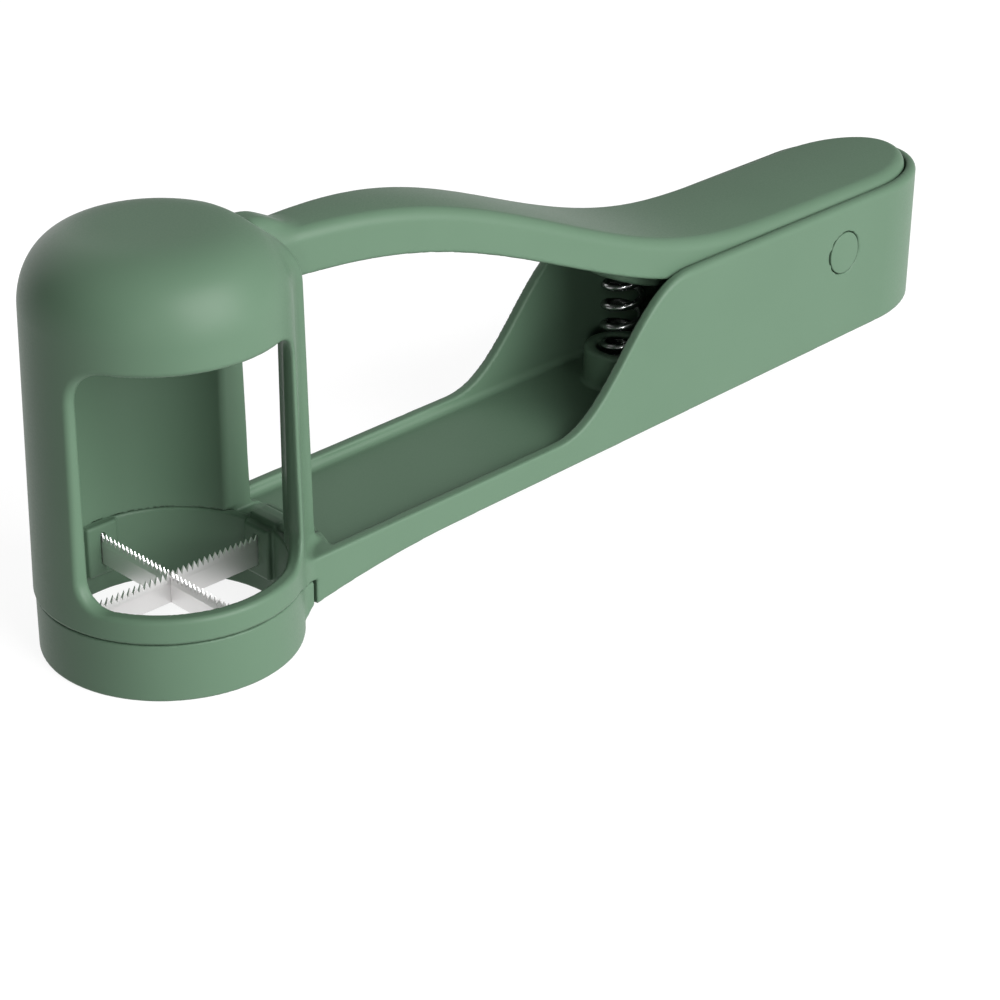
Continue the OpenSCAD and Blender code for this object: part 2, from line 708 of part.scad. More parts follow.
function wire_centre(p) = [spring_r * cos(turned(p)), spring_r * sin(turned(p)), p[1]];
spring_centres = [for (p = spring_path) wire_centre(p)];
spring_self_gap = min([for (i = [0:len(spring_path) - 1], j = [0:len(spring_path) - 1])
    if (spring_path[j][0] - spring_path[i][0] > PI * spring_r)
        norm(spring_centres[j] - spring_centres[i])]) - wire_d;
echo(spring_self_gap = spring_self_gap);

// One unbroken wire from seat to seat
module return_spring() {
    rings = len(spring_path);
    points = [for (p = spring_path, k = [0:wire_sides - 1])
        let (turn = turned(p), out = [cos(turn), sin(turn), 0],
            along = [-sin(turn) * cos(p[2]), cos(turn) * cos(p[2]), sin(p[2])],
            a = 360 * k / wire_sides)
        wire_centre(p) + wire_d / 2 * (cos(a) * out + sin(a) * cross(along, out))];
    sides = [for (i = [0:rings - 2], k = [0:wire_sides - 1])
        let (a = i * wire_sides + k, b = i * wire_sides + (k + 1) % wire_sides)
        each [[a, b, a + wire_sides], [b, b + wire_sides, a + wire_sides]]];
    last = (rings - 1) * wire_sides;
    ends = [for (k = [1:wire_sides - 2]) each [[0, k + 1, k], [last, last + k, last + k + 1]]];
    color(black_steel) translate([spring_x, 0, seat_low_z])
        polyhedron(points, concat(sides, ends));
}

main_body();
blade_ring();
long_blade();
cross_blade();
press_lever();
pusher();
pusher_pin();
pivot_sleeve();
pivot_stud();
return_spring();
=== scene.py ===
"""Grape cutter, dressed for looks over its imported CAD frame: four mouldings with rounded edges, a coil
spring, toothed blades, the pins, and a plain studio."""
import math

import bmesh
import bpy
import numpy as np
from bpy.props import FloatProperty, PointerProperty, StringProperty
from mathutils import Matrix, Vector


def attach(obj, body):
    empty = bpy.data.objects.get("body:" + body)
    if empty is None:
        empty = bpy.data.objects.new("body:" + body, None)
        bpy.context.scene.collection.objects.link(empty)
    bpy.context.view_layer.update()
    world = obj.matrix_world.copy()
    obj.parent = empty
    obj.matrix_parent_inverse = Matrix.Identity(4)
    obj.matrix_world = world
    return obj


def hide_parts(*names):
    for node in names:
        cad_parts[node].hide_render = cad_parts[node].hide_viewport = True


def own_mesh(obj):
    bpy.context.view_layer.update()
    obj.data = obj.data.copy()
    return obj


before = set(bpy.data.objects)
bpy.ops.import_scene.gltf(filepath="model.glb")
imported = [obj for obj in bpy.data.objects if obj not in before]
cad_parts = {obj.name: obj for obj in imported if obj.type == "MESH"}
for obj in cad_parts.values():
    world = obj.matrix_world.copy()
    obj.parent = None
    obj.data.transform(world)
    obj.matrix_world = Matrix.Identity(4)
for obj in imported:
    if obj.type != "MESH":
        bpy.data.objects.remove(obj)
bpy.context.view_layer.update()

bl_info = {
    "name": "Grape cutter",
    "version": (1, 0, 0),
    "blender": (4, 5, 0),
    "location": "View3D > Sidebar > Grape cutter",
    "description": "Builds a grape cutter with a lever, a blade ring and a return spring",
    "category": "Object",
}

MM = 0.001

# Sizes that the mouldings share with their CAD solids, and a few roundings of their own, in millimetres

# head and dome
HEAD_R, HEAD_EASE, CHAMBER_R, SHOULDER_Z, SHOULDER_R = 20.0, 0.17, 17.5, 54.0, 19.225
DOME_RISE, DOME_WALL, DOME_SIDE_POWER, DOME_CROWN_POWER = 11.1, 1.9, 4.3, 1.9
FOOT_Z, FOOT_ROUND, PARTING_GAP, SLIDE_GAP = 9.3, 0.5, 0.03, 0.06
# window, lever slot and the lips beside it
WINDOW_LOW_Z, WINDOW_HIGH_Z, WINDOW_LEFT_Y, WINDOW_RIGHT_X = 13.3, 50.1, -3.9, 12.9
WINDOW_TOP_ROUND, WINDOW_FOOT_ROUND, WINDOW_EDGE = 5.7, 4.2, 0.8
SLOT_END_X, SLOT_BACK_X, SLOT_HALF = 13.3, 23.0, 6.5
LIP_HALF, LIP_TOP_Z, LIP_ROUND, LIP_FRONT_X, LIP_LEAN, LIP_FILLET = 8.5, 59.0, 6.0, 21.0, 41.6, 3.5
# blade ring: skirt, sleeve, parting line, tab, bosses, catch and the blades' pockets
RING_H, RING_R, SLEEVE_R, SLEEVE_TOP_Z = 9.2, 19.7, 18.6, 12.0
LINE_DROP, LINE_DROP_X, LINE_DROP_REACH = 1.4, 10.5, 3.9
TAB_HALF, TAB_LOW_Z, TAB_END_X, TAB_BEVEL_X = 13.4, 2.5, 16.5, 15.2
BOSS_FACE, BOSS_END, BOSS_HALF, BOSS_LOW_Z = 16.3, 18.3, 2.9, 3.5
CATCH_X, CATCH_HALF, CATCH_LOW_Z, CATCH_TOP_Z = 17.8, 3.0, 6.5, 12.9
NOSE_REACH, NOSE_THICK = 21.2, 1.0
BLADE_END, BLADE_POCKET_HALF, BLADE_POCKET_LOW, BLADE_POCKET_HIGH = 18.02, 0.395, 5.48, 10.52
# arm, channel and handle
ARM_START_X, HEAD_BACK_X, REAR_CENTRE_X, REAR_X = 8.75, 16.6, 150.6, 169.5
HANDLE_HALF, INNER_HALF, REAR_ROUND, INNER_REAR, CHANNEL_FRONT_R = 13.4, 11.5, 18.9, 17.0, 24.2
UNDER_Z, UNDER_RISE, UNDER_BEND_X, UNDER_BEND_DROP = 6.9, 3.85, 46.0, 2.4
FLOOR_Z, FLOOR_RISE = 9.9, 2.7
RIM_FRONT_Z, RIM_FRONT_RISE, RIM_HIGH_Z, RIM_REAR_RISE = 11.4, 1.0, 34.3, 1.2
RIM_SWEEP_X, RIM_TOP_X, RIM_ROUND, RIM_MORE_ROUND = 67.0, 101.0, 0.45, 0.75
# lever: S-curve, plan, knuckle, tongue and ribs
LEVER_HIGH_Z, LEVER_FALL, LEVER_BEND_X, LEVER_LOW_X, LEVER_REAR_RISE = 59.3, 22.6, 21.0, 126.2, 0.6
LEVER_HALF, LEVER_FRONT_HALF, LEVER_REAR = 11.25, 4.5, 16.75
LEVER_DEPTH, LEVER_SKIN, LEVER_RIB = 7.3, 2.4, 1.8
FLARE_END_X, FLARE_SPAN, FLARE_SOFT = 88.0, 66.0, 6.0
NOSE_X, NOSE_LOW_Z, LEVER_START_X = 14.9, 55.3, 20.5
KNUCKLE_Z, KNUCKLE_BASE_Z, KNUCKLE_HALF = 62.1, 57.0, 3.4
KNUCKLE_X, KNUCKLE_FALL, KNUCKLE_END_X = 18.0, 0.25, 29.0
TONGUE_R, TONGUE_HALF = 3.3, 2.4
RIB_BAYS = ((23.8, 90.9, 4), (103.7, 133.4, 2), (145.8, 169.5, 2))
# pivot, spring and the cups that hold it
PIVOT_X, PIVOT_Z, PIVOT_R, STUD_R, HUB_R, PIVOT_WALL = 139.6, 26.1, 3.75, 2.3, 6.2, 1.9
SPRING_X, CUP_R, CUP_BASE_Z, CUP_TOP_Z, UPPER_CUP_Z = 97.3, 6.4, 10.3, 17.3, 29.75
SEAT_LOW_Z, SEAT_HIGH_Z, SEAT_R, SPRING_TURN = 12.2, 34.0, 4.35, math.radians(181)
SQUEEZE = math.radians(16.85)
# pusher, its ears and its pin
PUSHER_Z, PUSHER_T, PUSHER_R, GROOVE_HALF, GROOVE_DEPTH = 50.3, 4.0, 17.2, 0.875, 2.4
EAR_IN, EAR_OUT, EAR_HALF, EAR_TOP_Z, EAR_SLOT_HALF, EAR_SLOT_R = 2.7, 4.7, 6.4, 60.9, 2.2, 1.9
PIN_X, PIN_Z, PIN_R, PIN_HALF = 1.9, 58.0, 1.5, 5.7


# --- distance fields ---
# Each is negative inside the plastic, in millimetres. The last number of a meet, join or cut is the
# radius that rounds its edge or fills its corner.

def meet(a, b, r=0.0):
    """What two shapes share, with the edge between them rounded by r."""
    if np.ndim(r) == 0 and r == 0:
        return np.maximum(a, b)
    return np.minimum(-r, np.maximum(a, b)) + np.hypot(np.maximum(r + a, 0), np.maximum(r + b, 0))


def join(a, b, r=0.0):
    """Two shapes as one, with a fillet of r in the corner between them."""
    if r == 0:
        return np.minimum(a, b)
    return np.maximum(r, np.minimum(a, b)) - np.hypot(np.maximum(r - a, 0), np.maximum(r - b, 0))


def cut(a, b, r=0.0):
    """The first shape without the second, with the cut's edge rounded by r."""
    return meet(a, -b, r)


def outline_table(points, step=0.125, margin=5.0):
    """Signed distance to a closed flat outline, worked out once on a fine grid and then looked up."""
    p = np.asarray(points, float)
    lo = p.min(0) - margin
    size = np.ceil((p.max(0) + margin - lo) / step).astype(int) + 1
    u, v = np.meshgrid(*(lo[n] + step * np.arange(size[n]) for n in (0, 1)), indexing="ij")
    far, inside = np.full(u.shape, 1e9), np.zeros(u.shape, bool)
    for a, b in zip(p, np.roll(p, -1, 0)):
        d = b - a
        if d @ d < 1e-12:
            continue
        t = np.clip(((u - a[0]) * d[0] + (v - a[1]) * d[1]) / (d @ d), 0, 1)
        far = np.minimum(far, (u - a[0] - t * d[0]) ** 2 + (v - a[1] - t * d[1]) ** 2)
        if d[1]:
            inside ^= ((a[1] > v) != (b[1] > v)) & (u < a[0] + (v - a[1]) / d[1] * d[0])
    table = np.where(inside, -1, 1) * np.sqrt(far)

    def look(x, z):
        fx = np.clip((x - lo[0]) / step, 0, size[0] - 1.001)
        fz = np.clip((z - lo[1]) / step, 0, size[1] - 1.001)
        i, j = fx.astype(int), fz.astype(int)
        fx, fz = fx - i, fz - j
        return ((table[i, j] * (1 - fx) + table[i + 1, j] * fx) * (1 - fz)
                + (table[i, j + 1] * (1 - fx) + table[i + 1, j + 1] * fx) * fz)
    return look


def dome_outline(foot, r, rise):
    """Full outline of the head's side and dome, both halves."""
    a = np.linspace(0, math.pi / 2, 121)
    u = r * np.cos(a).clip(0) ** (2 / DOME_SIDE_POWER)
    v = SHOULDER_Z + rise * np.sin(a) ** (2 / DOME_CROWN_POWER)
    side = np.column_stack([u, v])
    return np.vstack([[foot], side, side[::-1] * [-1, 1], [[-foot[0], foot[1]]]])


def clamp(t):
    return np.clip(t, 0, 1)


def soft_step(t):
    return t * t * (3 - 2 * t)


def softer_step(t):
    return t * t * t * (t * (6 * t - 15) + 10)


def under_z(x):
    """Height of the underside, which bends down towards the head."""
    straight = UNDER_Z + UNDER_RISE * (x - UNDER_BEND_X) / (REAR_X - UNDER_BEND_X)
    bend = np.maximum(0, UNDER_BEND_X - x) / (UNDER_BEND_X - HEAD_BACK_X)
    return straight - UNDER_BEND_DROP * bend ** 2


def floor_z(x):
    """Height of the channel's floor."""
    return FLOOR_Z + FLOOR_RISE * (x - CHANNEL_FRONT_R) / (REAR_X - CHANNEL_FRONT_R)


def rim_z(x):
    """Height of the walls' rim: low along the arm, then swept up to the handle."""
    low = RIM_FRONT_Z + RIM_FRONT_RISE * (x - HEAD_BACK_X) / (RIM_SWEEP_X - HEAD_BACK_X)
    high = RIM_HIGH_Z + RIM_REAR_RISE * (x - RIM_TOP_X) / (REAR_X - RIM_TOP_X)
    return low + (high - low) * softer_step(clamp((x - RIM_SWEEP_X) / (RIM_TOP_X - RIM_SWEEP_X)))


def lever_top_z(x):
    """Height of the lever's S-shaped top."""
    fall = softer_step(clamp((x - LEVER_BEND_X) / (LEVER_LOW_X - LEVER_BEND_X)))
    rise = clamp((x - LEVER_LOW_X) / (REAR_X - LEVER_LOW_X)) ** 2
    return LEVER_HIGH_Z - LEVER_FALL * fall + LEVER_REAR_RISE * rise


def line_drop(x):
    """How far the ring's parting line dips towards its tab."""
    return LINE_DROP * soft_step(clamp((x - LINE_DROP_X) / LINE_DROP_REACH))


def knuckle_top(x):
    """Height of the knuckle at the lever's front, which falls away behind KNUCKLE_X."""
    return KNUCKLE_Z - KNUCKLE_FALL * (x - KNUCKLE_X + np.sqrt((x - KNUCKLE_X) ** 2 + 2))


def over_curve(curve, x, z):
    """Distance above a curve of z over x, square to the curve."""
    slope = (curve(x + 0.05) - curve(x - 0.05)) / 0.1
    return (z - curve(x)) / np.sqrt(1 + slope * slope)


def long_plan(x, y, half, rear):
    """Distance outside a long plan with straight sides and a half round rear end."""
    u, v = np.maximum(x - REAR_CENTRE_X, 0), np.abs(y)
    k0 = np.hypot(u / rear, v / half)
    k1 = np.hypot(u / rear ** 2, v / half ** 2)
    return np.where(x > REAR_CENTRE_X, k0 * (k0 - 1) / np.maximum(k1, 1e-6), v - half)


def skin(field, xs, ys, zs):
    """Points, faces and normals of the closed surface where a field is zero, found on a grid."""
    f = np.broadcast_to(field(xs[:, None, None], ys[None, :, None], zs[None, None, :]),
                        (len(xs), len(ys), len(zs)))
    inside = f < 0
    count = sum(inside[i:len(xs) - 1 + i, j:len(ys) - 1 + j, k:len(zs) - 1 + k].astype(np.int8)
                for i in (0, 1) for j in (0, 1) for k in (0, 1))
    cells = np.argwhere((count > 0) & (count < 8))
    number = np.full(count.shape, -1)
    number[tuple(cells.T)] = np.arange(len(cells))
    axes = (xs, ys, zs)
    places, weight = np.zeros((len(cells), 3)), np.zeros(len(cells))
    corners = [(i, j, k) for i in (0, 1) for j in (0, 1) for k in (0, 1)]
    value = {c: f[tuple((cells + c).T)] for c in corners}
    at = {c: np.column_stack([axes[n][cells[:, n] + c[n]] for n in range(3)]) for c in corners}
    for a in corners:
        for n in range(3):
            if a[n]:
                continue
            b = tuple(1 if m == n else a[m] for m in range(3))
            crossed = (value[a] < 0) != (value[b] < 0)
            t = value[a][crossed] / (value[a][crossed] - value[b][crossed])
            places[crossed] += at[a][crossed] + t[:, None] * (at[b][crossed] - at[a][crossed])
            weight[crossed] += 1
    places /= weight[:, None]
    faces = []
    for n in range(3):
        p, q = (n + 1) % 3, (n + 2) % 3
        here = [slice(1, -1)] * 3
        here[n] = slice(0, -1)
        there = list(here)
        there[n] = slice(1, None)
        a, b = inside[tuple(here)], inside[tuple(there)]
        for out, order in ((a & ~b, (0, 1, 2, 3)), (b & ~a, (3, 2, 1, 0))):
            e = np.argwhere(out)
            e[:, p] += 1
            e[:, q] += 1
            ring = []
            for dp, dq in ((1, 1), (0, 1), (0, 0), (1, 0)):
                c = e.copy()
                c[:, p] -= dp
                c[:, q] -= dq
                ring.append(number[tuple(c.T)])
            faces.append(np.column_stack([ring[m] for m in order]))
    faces = np.vstack(faces)

    def slope(h):
        return np.column_stack([
            field(*(places + h * np.eye(3)[n]).T) - field(*(places - h * np.eye(3)[n]).T)
            for n in range(3)]) / (2 * h)
    for _ in range(4):
        g = slope(0.02)
        step = (field(*places.T) / np.maximum((g * g).sum(1), 0.1))[:, None] * g
        length = np.linalg.norm(step, axis=1)[:, None]
        places -= step * np.minimum(1, 0.3 / np.maximum(length, 1e-9))
    normals = slope(0.08)
    normals /= np.maximum(np.linalg.norm(normals, axis=1)[:, None], 1e-9)
    return places, faces, normals


def stops(*parts):
    """Grid places from (start, step) pairs up to a last end."""
    out = []
    for (a, step), b in zip(parts[:-1], [p[0] if isinstance(p, tuple) else p for p in parts[1:]]):
        n = max(1, round((b - a) / step))
        out.extend(a + (b - a) * i / n for i in range(n))
    return np.array(out + [parts[-1]])


HEAD_OUT = outline_table(dome_outline((HEAD_R + HEAD_EASE, 0.0), SHOULDER_R, DOME_RISE))
HEAD_IN = outline_table(dome_outline((CHAMBER_R, 0.0), CHAMBER_R, DOME_RISE - DOME_WALL))


def box_side(p, a, b):
    return np.maximum(a - p, p - b)


def main_body_field(x, y, z):
    rho, ay = np.hypot(x, y), np.abs(y)
    foot = FOOT_Z + PARTING_GAP - line_drop(x)
    head = meet(HEAD_OUT(rho, z), foot - z, FOOT_ROUND)
    front = x - (LIP_FRONT_X - (z - RIM_FRONT_Z) / LIP_LEAN)
    lips = meet(meet(front, z - LIP_TOP_Z, LIP_ROUND), ay - LIP_HALF, 0.7)
    lips = np.maximum(np.maximum(lips, SLOT_END_X - x), foot - z)
    arm = meet(long_plan(x, y, HANDLE_HALF, REAR_ROUND), -over_curve(under_z, x, z), 0.5)
    # the rim's edge is rounder on the handle than along the arm
    soft = RIM_ROUND + RIM_MORE_ROUND * soft_step(clamp((x - 85) / 20))
    arm = np.maximum(meet(arm, over_curve(rim_z, x, z), soft), ARM_START_X - x)
    body = join(join(head, lips, LIP_FILLET), arm, 1.5)
    channel = meet(-over_curve(floor_z, x, z), long_plan(x, y, INNER_HALF, INNER_REAR), 1.2)
    body = cut(body, meet(channel, CHANNEL_FRONT_R - rho, 1.0), 0.45)
    coil = np.hypot(x - SPRING_X, y)
    cup = np.maximum(meet(coil - CUP_R, z - CUP_TOP_Z, 0.5), CUP_BASE_Z - z)
    body = join(body, cup, 0.8)
    body = cut(body, HEAD_IN(rho, z), 0.25)
    body = cut(body, np.maximum(rho - SLEEVE_R, z - SLEEVE_TOP_Z) - SLIDE_GAP, 0.15)
    top, low = z - WINDOW_HIGH_Z, WINDOW_LOW_Z - z
    right = meet(meet(x - WINDOW_RIGHT_X, top, WINDOW_TOP_ROUND), low, WINDOW_FOOT_ROUND)
    left = meet(meet(y - WINDOW_LEFT_Y, top, WINDOW_TOP_ROUND), low, WINDOW_FOOT_ROUND)
    body = cut(body, np.maximum(right, left), WINDOW_EDGE)
    slot = meet(SLOT_END_X - x, ay - SLOT_HALF, 0.8)
    slot = np.maximum(slot, np.maximum(RIM_FRONT_Z - z, x - SLOT_BACK_X))
    body = cut(body, slot, 0.7)
    # room below for the ring and its tab, and above it for the catch
    room = np.minimum(rho - HEAD_R - 0.6, np.maximum(box_side(x, 0, TAB_END_X + 0.45), ay - HEAD_R))
    catch = np.maximum(box_side(x, 0, NOSE_REACH + 0.3), ay - CATCH_HALF - 0.3)
    room = np.minimum(np.maximum(room, z - foot), np.maximum(catch, z - CATCH_TOP_Z))
    body = cut(body, room, 0.25)
    body = cut(body, np.hypot(x - PIVOT_X, z - PIVOT_Z) - PIVOT_R - 0.12, 0.2)
    return cut(body, meet(coil - SEAT_R, SEAT_LOW_Z - z, 0.3), 0.4)


def blade_ring_field(x, y, z):
    rho, ay, ax = np.hypot(x, y), np.abs(y), np.abs(x)
    high = z - RING_H + PARTING_GAP + line_drop(x)
    skirt = meet(meet(rho - RING_R, -z, 0.4), high, 0.2)
    bevel = (x + TAB_LOW_Z - z - TAB_BEVEL_X) * math.sqrt(0.5)
    tab = meet(meet(np.maximum(bevel, TAB_LOW_Z - z), x - TAB_END_X, 0.2), high, 0.2)
    tab = np.maximum(meet(tab, ay - TAB_HALF, 0.5), -x)
    ring = join(skirt, tab, 1.0)
    ring = join(ring, meet(rho - SLEEVE_R, z - SLEEVE_TOP_Z, 0.3), 0.1)
    ring = np.maximum(ring, -z)
    ring = cut(ring, rho - CHAMBER_R, 0.4)
    for u, w in ((ax, ay), (ay, ax)):
        boss = meet(meet(BOSS_FACE - u, w - BOSS_HALF, 0.5), z - SLEEVE_TOP_Z, 0.4)
        boss = meet(np.maximum(boss, u - BOSS_END), BOSS_LOW_Z - z, 0.4)
        ring = join(ring, boss, 0.4)
    catch = meet(meet(box_side(x, CATCH_X, RING_R), ay - CATCH_HALF, 0.2), z - CATCH_TOP_Z, 0.2)
    nose = meet(meet(box_side(x, CATCH_X, NOSE_REACH), ay - CATCH_HALF, 0.2),
                box_side(z, CATCH_TOP_Z - NOSE_THICK, CATCH_TOP_Z), 0.3)
    ring = join(join(ring, np.maximum(catch, CATCH_LOW_Z - z), 0.2), nose, 0.2)
    for u, w in ((ax, ay), (ay, ax)):
        pocket = np.maximum(u - BLADE_END, w - BLADE_POCKET_HALF)
        ring = cut(ring, np.maximum(pocket, box_side(z, BLADE_POCKET_LOW, BLADE_POCKET_HIGH)), 0.08)
    return ring


def press_lever_field(x, y, z):
    ay = np.abs(y)
    flare = FLARE_END_X - x
    flare = np.clip((flare + np.sqrt(flare * flare + FLARE_SOFT ** 2)) / 2, 0, FLARE_SPAN)
    half = LEVER_HALF - (LEVER_HALF - LEVER_FRONT_HALF) * flare / FLARE_SPAN
    plan = np.where(x > REAR_CENTRE_X, long_plan(x, y, LEVER_HALF, LEVER_REAR), ay - half)
    # the crown and the rounding of the edge grow towards the palm's part
    along = clamp((x - 26) / 86)
    crown = (0.3 + 0.2 * along) * clamp(ay / half) ** 2
    slope = (lever_top_z(x + 0.05) - lever_top_z(x - 0.05)) / 0.1
    square = np.sqrt(1 + slope * slope)
    top = (z - lever_top_z(x) + crown) / square
    bottom = (lever_top_z(x) - LEVER_DEPTH - z) / square
    edge = 1.7 + 0.3 * along
    start = np.maximum(NOSE_X - x, np.minimum(LEVER_START_X - x, NOSE_LOW_Z - z))
    lever = meet(meet(meet(plan, start, 1.0), top, edge), bottom, 0.5)
    hollow = np.full(np.shape(x), 1e3)
    for x0, x1, count in RIB_BAYS:
        pitch = (x1 - x0 + LEVER_RIB) / count
        for i in range(count):
            hollow = np.minimum(hollow, box_side(x, x0 + i * pitch, x0 + (i + 1) * pitch - LEVER_RIB))
    hollow = meet(meet(plan + LEVER_RIB, hollow, 0.6), (z - lever_top_z(x)) / square + LEVER_SKIN, 0.6)
    lever = cut(lever, hollow, 0.3)
    ridge = meet(meet(NOSE_X - x, over_curve(knuckle_top, x, z), 1.5), ay - KNUCKLE_HALF, 2.2)
    ridge = np.maximum(ridge, np.maximum(KNUCKLE_BASE_Z - z, x - KNUCKLE_END_X))
    lever = join(lever, ridge, 0.9)
    high, low = PIN_Z + TONGUE_R, PIN_Z - TONGUE_R
    tongue_top = z - (high + (LEVER_HIGH_Z - high) * clamp((x - PIN_X) / (NOSE_X - PIN_X)))
    tongue_low = low + (NOSE_LOW_Z - low) * clamp((x - PIN_X) / (LEVER_START_X - PIN_X)) - z
    tongue = np.maximum(np.maximum(tongue_top, tongue_low), box_side(x, PIN_X, LEVER_START_X))
    tongue = np.minimum(tongue, np.hypot(x - PIN_X, z - PIN_Z) - TONGUE_R)
    lever = join(lever, meet(tongue, ay - TONGUE_HALF, 0.4), 0.4)
    post = np.hypot(x - PIVOT_X, z - PIVOT_Z)
    hub = meet(post - HUB_R, ay - LEVER_HALF, 0.3)
    web = np.maximum(np.abs(x - PIVOT_X) - LEVER_RIB, ay - 10.5)
    web = np.maximum(web, np.maximum(PIVOT_Z - z, top + 1.2))
    lever = join(join(lever, web, 0.4), hub, 0.6)
    coil = np.hypot(x - SPRING_X, y)
    under = (UPPER_CUP_Z - z) * math.cos(SQUEEZE) - (x - SPRING_X) * math.sin(SQUEEZE)
    cup = np.maximum(meet(coil - CUP_R, under, 0.4), top + 1.2)
    lever = join(lever, cup, 0.5)
    lever = cut(lever, post - PIVOT_R - SLIDE_GAP, 0.2)
    lever = cut(lever, np.hypot(x - PIN_X, z - PIN_Z) - PIN_R - 0.02, 0.2)
    return cut(lever, meet(coil - SEAT_R, z - SEAT_HIGH_Z, 0.3), 0.3)


def pusher_field(x, y, z):
    rho, ay, ax = np.hypot(x, y), np.abs(y), np.abs(x)
    plate = meet(meet(rho - PUSHER_R, PUSHER_Z - z, 0.4), z - PUSHER_Z - PUSHER_T, 0.4)
    ears = meet(meet(box_side(ay, EAR_IN, EAR_OUT), ax - EAR_HALF, 0.5), z - EAR_TOP_Z, 0.5)
    body = join(plate, np.maximum(ears, PUSHER_Z + PUSHER_T / 2 - z), 0.6)
    # grooves that let the blades in, and notches that clear their bosses
    for u, w in ((ax, ay), (ay, ax)):
        body = cut(body, np.maximum(w - GROOVE_HALF, z - PUSHER_Z - GROOVE_DEPTH), 0.2)
        notch = np.maximum(BOSS_FACE - 0.3 - u, w - BOSS_HALF - 0.3)
        body = cut(body, np.maximum(notch, z - PUSHER_Z - PUSHER_T - 1), 0.2)
    slot = np.hypot(np.maximum(ax - EAR_SLOT_HALF, 0), z - PIN_Z) - EAR_SLOT_R
    return cut(body, slot, 0.2)


# --- materials ---

def linear(code):
    """A colour given as sRGB hex, made linear."""
    part = [int(code.lstrip("#")[i:i + 2], 16) / 255 for i in (0, 2, 4)]
    return tuple(c / 12.92 if c <= 0.04045 else ((c + 0.055) / 1.055) ** 2.4 for c in part) + (1.0,)


def node(tree, kind, inputs=None, **settings):
    """Adds a node with its settings. Inputs map a socket to a value or to the socket that feeds it."""
    made = tree.nodes.new(kind)
    for key, value in settings.items():
        setattr(made, key, value)
    for key, value in (inputs or {}).items():
        if isinstance(value, bpy.types.NodeSocket):
            tree.links.new(value, made.inputs[key])
        else:
            made.inputs[key].default_value = value
    return made


def new_material(name):
    made = bpy.data.materials.new(name)
    made.use_nodes = True
    made.node_tree.nodes.clear()
    return made, made.node_tree


def sage_plastic():
    """Satin moulded ABS, coloured through: the mould's fine spark texture gives a soft, broad sheen."""
    made, tree = new_material("satin_moulded_abs")
    finish = bpy.context.scene.cutter_finish
    place = node(tree, "ShaderNodeTexCoord").outputs["Object"]
    # faint clouds about 17 mm across, as the pigment flows in the mould
    cloud = node(tree, "ShaderNodeTexNoise", {"Vector": place, "Scale": 60.0, "Detail": 2.0})
    colour = node(tree, "ShaderNodeMix", {
        "Factor": cloud.outputs["Fac"], "A": linear(finish.plastic_deep),
        "B": linear(finish.plastic_light)}, data_type="RGBA")
    # spark texture: pits about 0.3 mm apart
    grain = node(tree, "ShaderNodeTexNoise", {"Vector": place, "Scale": 1 / 0.0003, "Detail": 2.0})
    rough = node(tree, "ShaderNodeMapRange", {
        "Value": grain.outputs["Fac"], "From Min": 0.3, "From Max": 0.7,
        "To Min": finish.plastic_roughness - 0.04, "To Max": finish.plastic_roughness + 0.04})
    bump = node(tree, "ShaderNodeBump", {"Height": grain.outputs["Fac"], "Strength": 0.12,
                                         "Distance": 0.00002})
    shader = node(tree, "ShaderNodeBsdfPrincipled", {
        "Base Color": colour.outputs["Result"], "Roughness": rough.outputs["Result"], "IOR": 1.53,
        "Specular IOR Level": 0.12, "Normal": bump.outputs["Normal"]})
    node(tree, "ShaderNodeOutputMaterial", {"Surface": shader.outputs["BSDF"]})
    return made


def blade_steel():
    """Stainless strip, ground along its length: fine lines and a bright, slightly streaked sheen."""
    made, tree = new_material("ground_stainless_strip")
    finish = bpy.context.scene.cutter_finish
    place = node(tree, "ShaderNodeTexCoord").outputs["Object"]
    # grinding lines about 0.1 mm apart run along the strips, so they vary only with height
    lines = node(tree, "ShaderNodeMapping", {"Vector": place, "Scale": (60.0, 60.0, 1 / 0.0001)})
    streak = node(tree, "ShaderNodeTexNoise", {
        "Vector": lines.outputs["Vector"], "Scale": 1.0, "Detail": 3.0})
    rough = node(tree, "ShaderNodeMapRange", {
        "Value": streak.outputs["Fac"], "From Min": 0.3, "From Max": 0.7,
        "To Min": 0.4, "To Max": 0.44})
    bump = node(tree, "ShaderNodeBump", {"Height": streak.outputs["Fac"], "Strength": 0.01,
                                         "Distance": 0.00001})
    shader = node(tree, "ShaderNodeBsdfPrincipled", {
        "Base Color": linear(finish.steel), "Metallic": 1.0, "Roughness": rough.outputs["Result"],
        "Normal": bump.outputs["Normal"]})
    node(tree, "ShaderNodeOutputMaterial", {"Surface": shader.outputs["BSDF"]})
    return made


def pin_steel():
    """Drawn stainless rod, cut to length: draw lines along the pin and a soft gloss."""
    made, tree = new_material("drawn_stainless_rod")
    finish = bpy.context.scene.cutter_finish
    place = node(tree, "ShaderNodeTexCoord").outputs["Object"]
    # draw lines about 0.1 mm apart run along Y, the pin's length
    lines = node(tree, "ShaderNodeMapping", {"Vector": place, "Scale": (1 / 0.0001, 80.0, 1 / 0.0001)})
    streak = node(tree, "ShaderNodeTexNoise", {
        "Vector": lines.outputs["Vector"], "Scale": 1.0, "Detail": 2.0})
    rough = node(tree, "ShaderNodeMapRange", {
        "Value": streak.outputs["Fac"], "From Min": 0.3, "From Max": 0.7,
        "To Min": 0.22, "To Max": 0.36})
    shader = node(tree, "ShaderNodeBsdfPrincipled", {
        "Base Color": linear(finish.steel), "Metallic": 1.0, "Roughness": rough.outputs["Result"]})
    node(tree, "ShaderNodeOutputMaterial", {"Surface": shader.outputs["BSDF"]})
    return made


